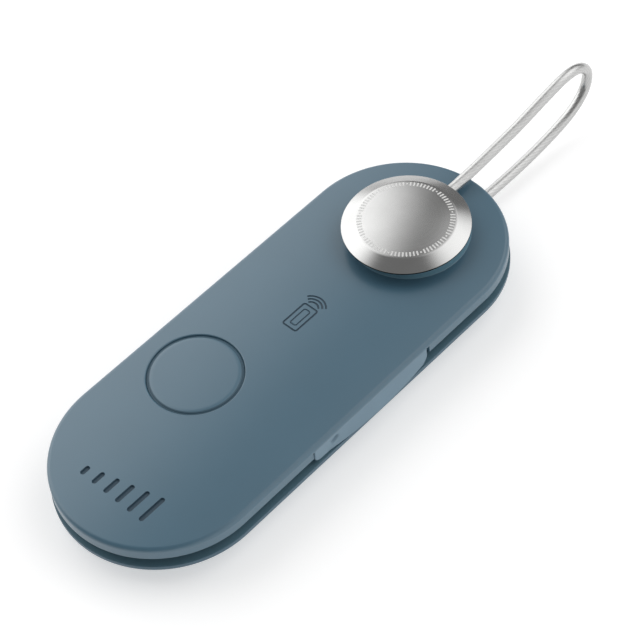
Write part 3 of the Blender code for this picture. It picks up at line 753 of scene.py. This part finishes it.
def make_flap():
    """The flap and, behind it, the bung that fills the socket's mouth."""
    top = NOTCH_TOP - FLAP_TOP_GAP
    flap = Solid().loft([flap_section(x, top) for x in spread(FLAP_LOW.x, FLAP_HIGH.x, 200)])
    width, height, corner, edge = 7.6, 1.9, 0.9, 0.25
    tip_y, root_y = FLAP_HIGH.y, FLAP_INNER_Y - 0.5
    insets = ((root_y, 0.0), (tip_y - edge, 0.0), (tip_y - edge * 0.3, edge * 0.3), (tip_y, edge))
    loops = []
    for y, inset in insets:
        outline = rounded_rectangle(width - 2 * inset, height - 2 * inset, corner - inset)
        loops.append([(PORT_X - u, y, PORT_Z + v) for u, v in outline])
    mesh = shaped("flap", flap, ("UNION", Solid().loft(loops)))
    piece("flap", mesh, flap_rubber, "port_flap", "flap_plastic", "port_cover", sharp=40)


def make_receptacle():
    """The socket's metal shell, and its tongue with gold contacts on both faces."""
    outside, bore, lip = (8.9, 3.2, 1.3), (8.2, 2.5, 1.0), 0.06
    back_y, floor_y = -7.9, -8.3

    def loop(size, grown, y):
        width, height, radius = size
        outline = rounded_rectangle(width + 2 * grown, height + 2 * grown, radius + grown, 10)
        return [(PORT_X + u, y, PORT_Z + v) for u, v in outline]

    shell = Solid().loft([
        loop(bore, 0.0, floor_y),
        loop(bore, 0.0, PORT_MOUTH_Y + lip),
        loop(bore, lip, PORT_MOUTH_Y),
        loop(outside, -lip, PORT_MOUTH_Y),
        loop(outside, 0.0, PORT_MOUTH_Y + lip),
        loop(outside, 0.0, back_y),
    ])
    shell.faces = [tuple(reversed(face)) for face in shell.faces]
    piece("socket_shell", shell, stamped_steel, "tag_body", "contact_steel", "usb_shell")

    half, thin = 3.3, 0.35
    tongue = Solid().box((PORT_X - half, -13.5, PORT_Z - thin), (PORT_X + half, -8.6, PORT_Z + thin))
    half, thick = 3.6, 0.9
    root = Solid().box((PORT_X - half, -10.0, PORT_Z - thick), (PORT_X + half, -8.5, PORT_Z + thick))
    mesh = shaped("socket_tongue", tongue, ("UNION", root))
    piece("socket_tongue", mesh, chip_black, "tag_body", "tongue_plastic", "usb_tongue")

    contacts = Solid()
    count, pitch, half_wide = 12, 0.5, 0.12
    for side in (-1, 1):
        low, high = sorted((PORT_Z + side * 0.34, PORT_Z + side * 0.375))
        for i in range(count):
            x = PORT_X + (i - (count - 1) / 2) * pitch
            contacts.box((x - half_wide, -13.2, low), (x + half_wide, -10.2, high))
    piece("socket_contacts", contacts, contact_gold, "tag_body", "copper_foil")


# ---------------------------------------------------------------- rope and its fixing


def dome_z(r):
    """The height of the disc's dome at this distance from its axis."""
    return DOME_EDGE + DOME_RISE * (1 - (r / DOME_R) ** 2)


def make_disc():
    """The domed nut: a flat-sided bevel round a shallow dome, hollow underneath."""
    edge, shoulder = 0.03, 0.12
    hub_r, pocket_r, pocket_z = 3.6, 5.4, 10.7
    hollow_r, hollow_z, rim_r = 8.6, 11.35, 9.3
    fall = DOME_EDGE - BEVEL_FOOT
    profile = [
        (BORE_R, 11.4),
        (BORE_R, DISC_LOW.z + 0.1),
        (BORE_R + 0.1, DISC_LOW.z),
        (hub_r - 0.1, DISC_LOW.z),
        (hub_r, DISC_LOW.z + 0.1),
        (hub_r, pocket_z),
        (pocket_r, pocket_z),
        (pocket_r, hollow_z),
        (hollow_r, hollow_z),
        (rim_r, RIM_BOTTOM),
        *arc(DISC_R - edge, RIM_BOTTOM + edge, edge, -90, 0, 4),
        (DISC_R, BEVEL_FOOT + 0.03),
        (DISC_R - 0.05, BEVEL_FOOT + 0.07),
        (DOME_R + shoulder, DOME_EDGE - fall * shoulder / (DISC_R - DOME_R)),
    ]
    rings = 32
    for i in range(1, rings + 1):
        r = DOME_R * (1 - (i - 0.5) / (rings + 0.5))
        profile.append((r, dome_z(r)))
    disc = Solid().lathe(FIX_X, 0, profile, steps=192)
    disc = piece("domed_disc", disc, disc_steel, "disc", "turned_steel", "cable_disc", sharp=25)

    def on_rim(middle, _normal):
        return math.hypot(middle.x - FIX_X, middle.y) > DISC_R - 0.02 and middle.z < BEVEL_FOOT

    # The narrow wall under the bevel takes near-black steel: painted shade under the rim, above the boss.
    paint_faces(disc, rim_painted_shade_steel, on_rim)


def make_disc_marks():
    """A printed ring near the dome's edge: groups of plain bars with a dot between groups."""
    marks = Solid()
    groups, bars = 9, 8
    low_r, high_r, half_bar, half_dot = 6.95, 7.8, 0.13, 0.15
    sunk, proud = -0.03, 0.012
    middle = (low_r + high_r) / 2
    places = groups * (bars + 1)
    for k in range(places):
        a = 2 * math.pi * k / places
        out = Vector((math.cos(a), math.sin(a), 0))
        side = Vector((-out.y, out.x, 0))
        if k % (bars + 1) == 0:
            half_long = half_wide = half_dot
        else:
            half_long, half_wide = (high_r - low_r) / 2, half_bar
        outline = rounded_rectangle(2 * half_long, 2 * half_wide, half_wide * 0.9, 3)
        loops = []
        for lift in (sunk, proud):
            loop = []
            for u, v in outline:
                p = out * (middle + u) + side * v
                loop.append((FIX_X + p.x, p.y, dome_z(p.length) + lift))
            loops.append(loop)
        marks.loft(loops)
    piece("disc_marks", marks, mark_paint, "disc", "turned_steel")


def make_base():
    """The foot with its stud: one turned profile, then a way out for the rope."""
    edge, foot = 0.25, 0.5
    pitch, thread, thread_start = 0.8, 0.18, 8.8
    pocket_z = 0.7
    profile = [
        (BASE_R - 0.6, 0),
        *arc(BASE_R - foot, foot, foot, -60, 0, 5),
        *arc(BASE_R - edge, BASE_TOP - edge, edge, 0, 90, 5),
        (POCKET_R + 0.1, BASE_TOP),
        (POCKET_R, BASE_TOP - 0.1),
        (POCKET_R, pocket_z),
        (STUD_R, pocket_z),
        (STUD_R, thread_start),
    ]
    for i in range(1, 12):
        z = thread_start + pitch * i / 4
        if z < BASE_HIGH.z - 0.45:
            profile.append((STUD_R - (thread if i % 2 else 0), z))
    profile += [(STUD_R, BASE_HIGH.z - 0.4), (STUD_R - 0.4, BASE_HIGH.z)]
    base = Solid().lathe(FIX_X, 0, profile)
    channel = Solid().box((FIX_X + 4, -CHANNEL_HALF, 0.35), (FIX_X + 12, CHANNEL_HALF, 3.5))
    mesh = shaped("foot_disc", base, ("DIFFERENCE", channel))
    piece("foot_disc", mesh, base_steel, "tag_body", "turned_steel", "base_disc")


def make_lug(name, node, bore_r, low_z, high_z, rope_z, ferrule_end):
    """An eye round the stud with a tang and a crimped ferrule for the rope's end."""
    eye_r, edge = 5.6, 0.1
    ring = [
        (bore_r, low_z),
        (eye_r - edge, low_z),
        (eye_r, low_z + edge),
        (eye_r, high_z - edge),
        (eye_r - edge, high_z),
        (bore_r, high_z),
    ]
    eye = Solid().lathe(FIX_X, 0, ring, ring=True, steps=96)
    tang = Solid().box((FIX_X + 5.0, -1.0, low_z + edge), (FIX_X + 6.6, 1.0, high_z - edge))

    ferrule_r, crimp, sides = 1.15, 0.1, 40
    start = FIX_X + 5.9
    length = ferrule_end - start
    shape = [(0, 0)]
    for at in (0.3, 0.64):
        shape += [(at, 0), (at + 0.06, crimp), (at + 0.2, crimp), (at + 0.26, 0)]
    shape.append((1, 0))
    turn = [2 * math.pi * i / sides for i in range(sides)]
    loops = []
    for share, fall in shape:
        x, r = start + length * share, ferrule_r - fall
        loops.append([(x, r * math.cos(a), rope_z + r * math.sin(a)) for a in turn])
    mesh = shaped(name, eye, ("UNION", tang), ("UNION", Solid().loft(loops)))
    piece(name, mesh, lug_steel, "tag_body", "fixing_steel", node)


def make_bush_and_washer():
    """Two plain rings with broken edges: the bush through the case and the washer on it."""

    def ring(node, inner_r, outer_r, edge_high):
        low, high = corners(node)
        edge = 0.1
        profile = [
            (inner_r, low.z),
            (outer_r - edge, low.z),
            (outer_r, low.z + edge_high),
            (outer_r, high.z - edge_high),
            (outer_r - edge, high.z),
            (inner_r, high.z),
        ]
        return Solid().lathe(FIX_X, 0, profile, ring=True, steps=96)

    bush = ring("fixing_bush", BORE_R, 3.7, 0.1)
    piece("case_bush", bush, lug_steel, "tag_body", "turned_steel", "fixing_bush")
    washer = ring("slip_washer", 3.9, 5.4, 0.08)
    piece("nylon_washer", washer, nylon, "washer", "white_nylon", "slip_washer")


# The rope's route in metres: out level with the boss, up a little past the end of the tag, back
# in a round bight, and under the tag to the lower lug.
LOOP_ROUTE = (
    (0.0368, 0.0, 0.00965),
    (0.0395, -0.0001, 0.00968),
    (0.0430, -0.0002, 0.00995),
    (0.0470, -0.0003, 0.0104),
    (0.0510, -0.00035, 0.0108),
    (0.0550, -0.0004, 0.0113),
    (0.0590, -0.0004, 0.01195),
    (0.0630, -0.0004, 0.0126),
    (0.0665, -0.0004, 0.0130),
    (0.0693, -0.0004, 0.01275),
    (0.0715, -0.0004, 0.0117),
    (0.0728, -0.0004, 0.0100),
    (0.0729, -0.00045, 0.0081),
    (0.0722, -0.0005, 0.0064),
    (0.0706, -0.00055, 0.00485),
    (0.0682, -0.0006, 0.00365),
    (0.0652, -0.0006, 0.00285),
    (0.0615, -0.0006, 0.00225),
    (0.0575, -0.0006, 0.00185),
    (0.0530, -0.00055, 0.0016),
    (0.0480, -0.00045, 0.0015),
    (0.0435, -0.0003, 0.0015),
    (0.0395, -0.0001, 0.00157),
    (0.0362, 0.0, 0.0016),
)
ROPE_D = 0.0018
STRAND_PITCH = 14.0


def smooth_route(points, spacing):
    """Points this far apart along a Catmull-Rom curve through the route's own points."""
    per_span = 40
    p = [Vector(q) for q in points]
    ends = [2 * p[0] - p[1], *p, 2 * p[-1] - p[-2]]
    fine = []
    for a, b, c, d in zip(ends, ends[1:], ends[2:], ends[3:]):
        for i in range(per_span):
            t = i / per_span
            first = 2 * b + (c - a) * t + (2 * a - 5 * b + 4 * c - d) * t * t
            fine.append(0.5 * (first + (3 * b - a - 3 * c + d) * t**3))
    fine.append(p[-1])
    length = sum((b - a).length for a, b in zip(fine, fine[1:]))
    count = max(2, round(length / spacing))
    route, walked = [fine[0]], 0.0
    for a, b in zip(fine, fine[1:]):
        step = (b - a).length
        while len(route) < count and walked + step >= length * len(route) / count:
            share = (length * len(route) / count - walked) / step
            route.append(a.lerp(b, share))
        walked += step
    route.append(fine[-1])
    return route


def make_rope():
    """The rope as a tube with a shallow valley between its twisted strands."""
    spacing, sides, valley = 0.25, 72, 0.012
    route = smooth_route([Vector(p) / MM for p in LOOP_ROUTE], spacing)
    radius = ROPE_D / MM / 2
    across = Vector((0, 1, 0))
    loops, turns = [], []
    walked = 0.0
    for k, point in enumerate(route):
        before, after = route[max(k - 1, 0)], route[min(k + 1, len(route) - 1)]
        along = (after - before).normalized()
        side = (across - along * across.dot(along)).normalized()
        up = along.cross(side)
        if k:
            walked += (point - route[k - 1]).length
        turn = walked / STRAND_PITCH
        turns.append(turn)
        loop = []
        for i in range(sides):
            a = 2 * math.pi * i / sides
            lobe = abs(math.cos(ROPE_STRANDS * (a - 2 * math.pi * turn) / 2))
            r = radius - valley * (1 - lobe) ** 2
            loop.append(point + (side * math.cos(a) + up * math.sin(a)) * r)
        loops.append(loop)
    mesh = Solid().loft(loops).mesh("rope")

    # U once round the rope, V once for each turn of its strands.
    uv = mesh.uv_layers.new(name="twist")
    for face in mesh.polygons:
        if len(face.vertices) > 4:
            continue
        ring, first = divmod(face.vertices[0], sides)
        corners_uv = ((first, ring), (first + 1, ring), (first + 1, ring + 1), (first, ring + 1))
        for loop_index, (u, v) in zip(face.loop_indices, corners_uv):
            uv.data[loop_index].uv = (u / sides, turns[v])
    rope = piece("rope", mesh, rope_steel, "tag_body", "coated_rope", "cable_loop")


# ---------------------------------------------------------------- carried CAD nodes


def finish_inner_pieces():
    """Gives every CAD node that stays in view its own finish."""
    finishes = {
        board_green: ["main_pcb"],
        chip_black: ["bluetooth_chip", "accelerometer", "charger_chip"],
        stamped_steel: ["crystal", "snap_dome"],
        ceramic: ["chip_antenna"],
        ferrite: ["ferrite_sheet", "boost_inductor"],
        copper: ["nfc_antenna"],
        pouch_foil: ["battery_cell"],
        foam: ["battery_pad", "piezo_ring"],
        brass: ["piezo_plate"],
        silvered: ["piezo_ceramic"],
        wire_red: ["battery_lead_red", "piezo_lead_2"],
        wire_black: ["battery_lead_black", "piezo_lead_1"],
        seal_rubber: ["perimeter_gasket"],
        flap_rubber: ["cover_anchor"],
    }
    for finish, names in finishes.items():
        for name in names:
            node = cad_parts[name]
            node.data.materials.clear()
            node.data.materials.append(finish)


# ---------------------------------------------------------------- studio


def make_floor():
    """A wide white floor that glows a little, as a light table does."""
    mesh = bpy.data.meshes.new("floor")
    reach = 3.0
    corner_points = [(-reach, -reach, 0), (reach, -reach, 0), (reach, reach, 0), (-reach, reach, 0)]
    mesh.from_pydata(corner_points, [], [(0, 1, 2, 3)])
    floor = bpy.data.objects.new("floor", mesh)
    bpy.context.scene.collection.objects.link(floor)
    paper = surface(
        "floor_paper", (0.72, 0.72, 0.72), 0.99, 40.0, 0.5, (0.75, 0.85), 0.002,
        Emission_Color=(1.0, 1.0, 1.0, 1.0), Emission_Strength=0.45,
    )
    mesh.materials.append(paper)


# Each soft box: its azimuth from +X and its elevation, the angles from its middle where it
# starts to fade and where it ends, all in degrees, and its brightness.
SOFT_BOXES = (
    (90, 29, 22, 48, 1.85),
    (-21, 45, 3, 39, 1.55),
    (-72, 5, 12, 50, 1.05),
)
CEILING = 0.25


def direction(azimuth, elevation):
    """A unit vector from its angle about +Z, counted from +X, and its angle above the floor."""
    a, e = math.radians(azimuth), math.radians(elevation)
    return (math.cos(e) * math.cos(a), math.cos(e) * math.sin(a), math.sin(e))


def make_light():
    """Soft boxes painted on the sky: one behind the tag, one at its rope end, a weaker one low
    in front, and an even dim sky. The camera itself sees plain white."""
    world = bpy.data.worlds.new("studio")
    bpy.context.scene.world = world
    world.use_nodes = True
    tree = world.node_tree
    sight = add_node(tree, "TexCoord").outputs["Generated"]
    glow = None
    for azimuth, elevation, inner, outer, strength in SOFT_BOXES:
        inputs = {0: sight, 1: direction(azimuth, elevation)}
        facing = add_node(tree, "VectorMath", inputs, operation="DOT_PRODUCT").outputs["Value"]
        outer_cos, inner_cos = math.cos(math.radians(outer)), math.cos(math.radians(inner))
        box = remap(tree, facing, outer_cos, inner_cos, 0.0, strength, smooth=True)
        glow = box if glow is None else maths(tree, "ADD", glow, box)
    glow = maths(tree, "ADD", glow, CEILING)
    seen = add_node(tree, "LightPath").outputs["Is Camera Ray"]
    background = tree.nodes["Background"]
    background.inputs["Color"].default_value = (1.0, 1.0, 1.0, 1.0)
    tree.links.new(maths(tree, "MAXIMUM", glow, seen), background.inputs["Strength"])


def make_camera():
    """The camera looks down at the button's face from the charging port's side, rolled a
    little so that the tag lies across the picture. Angles are in degrees."""
    azimuth, elevation, roll = math.radians(-41.26), math.radians(51.03), math.radians(-7.28)
    distance, target = 300.7, Vector((6.81, -0.77, 7.6))
    back = Vector((
        math.sin(azimuth) * math.cos(elevation),
        -math.cos(azimuth) * math.cos(elevation),
        math.sin(elevation),
    ))
    camera = bpy.data.objects.new("camera", bpy.data.cameras.new("camera"))
    bpy.context.scene.collection.objects.link(camera)
    bpy.context.scene.camera = camera
    camera.data.lens = 110.03
    camera.data.sensor_width = 36.0
    camera.data.clip_start = 0.01
    camera.location = (target + back * distance) * MM
    camera.rotation_mode = "QUATERNION"
    level = (-back).to_track_quat("-Z", "Y")
    camera.rotation_quaternion = level @ Quaternion((0, 0, 1), roll)


bpy.context.scene.view_settings.view_transform = "Standard"
make_camera()
make_rope()
make_case_top()
make_case_rear()
make_waist()
make_rear_screws()
make_button()
make_flap()
make_receptacle()
make_disc()
make_disc_marks()
make_base()
make_lug("lower_lug", "lower_cable_lug", 2.9, 0.85, 2.3, rope_z=1.6, ferrule_end=35.9)
make_lug("upper_lug", "upper_cable_lug", 3.9, 8.9, 10.2, rope_z=9.65, ferrule_end=36.5)
make_bush_and_washer()
finish_inner_pieces()
make_floor()
make_light()
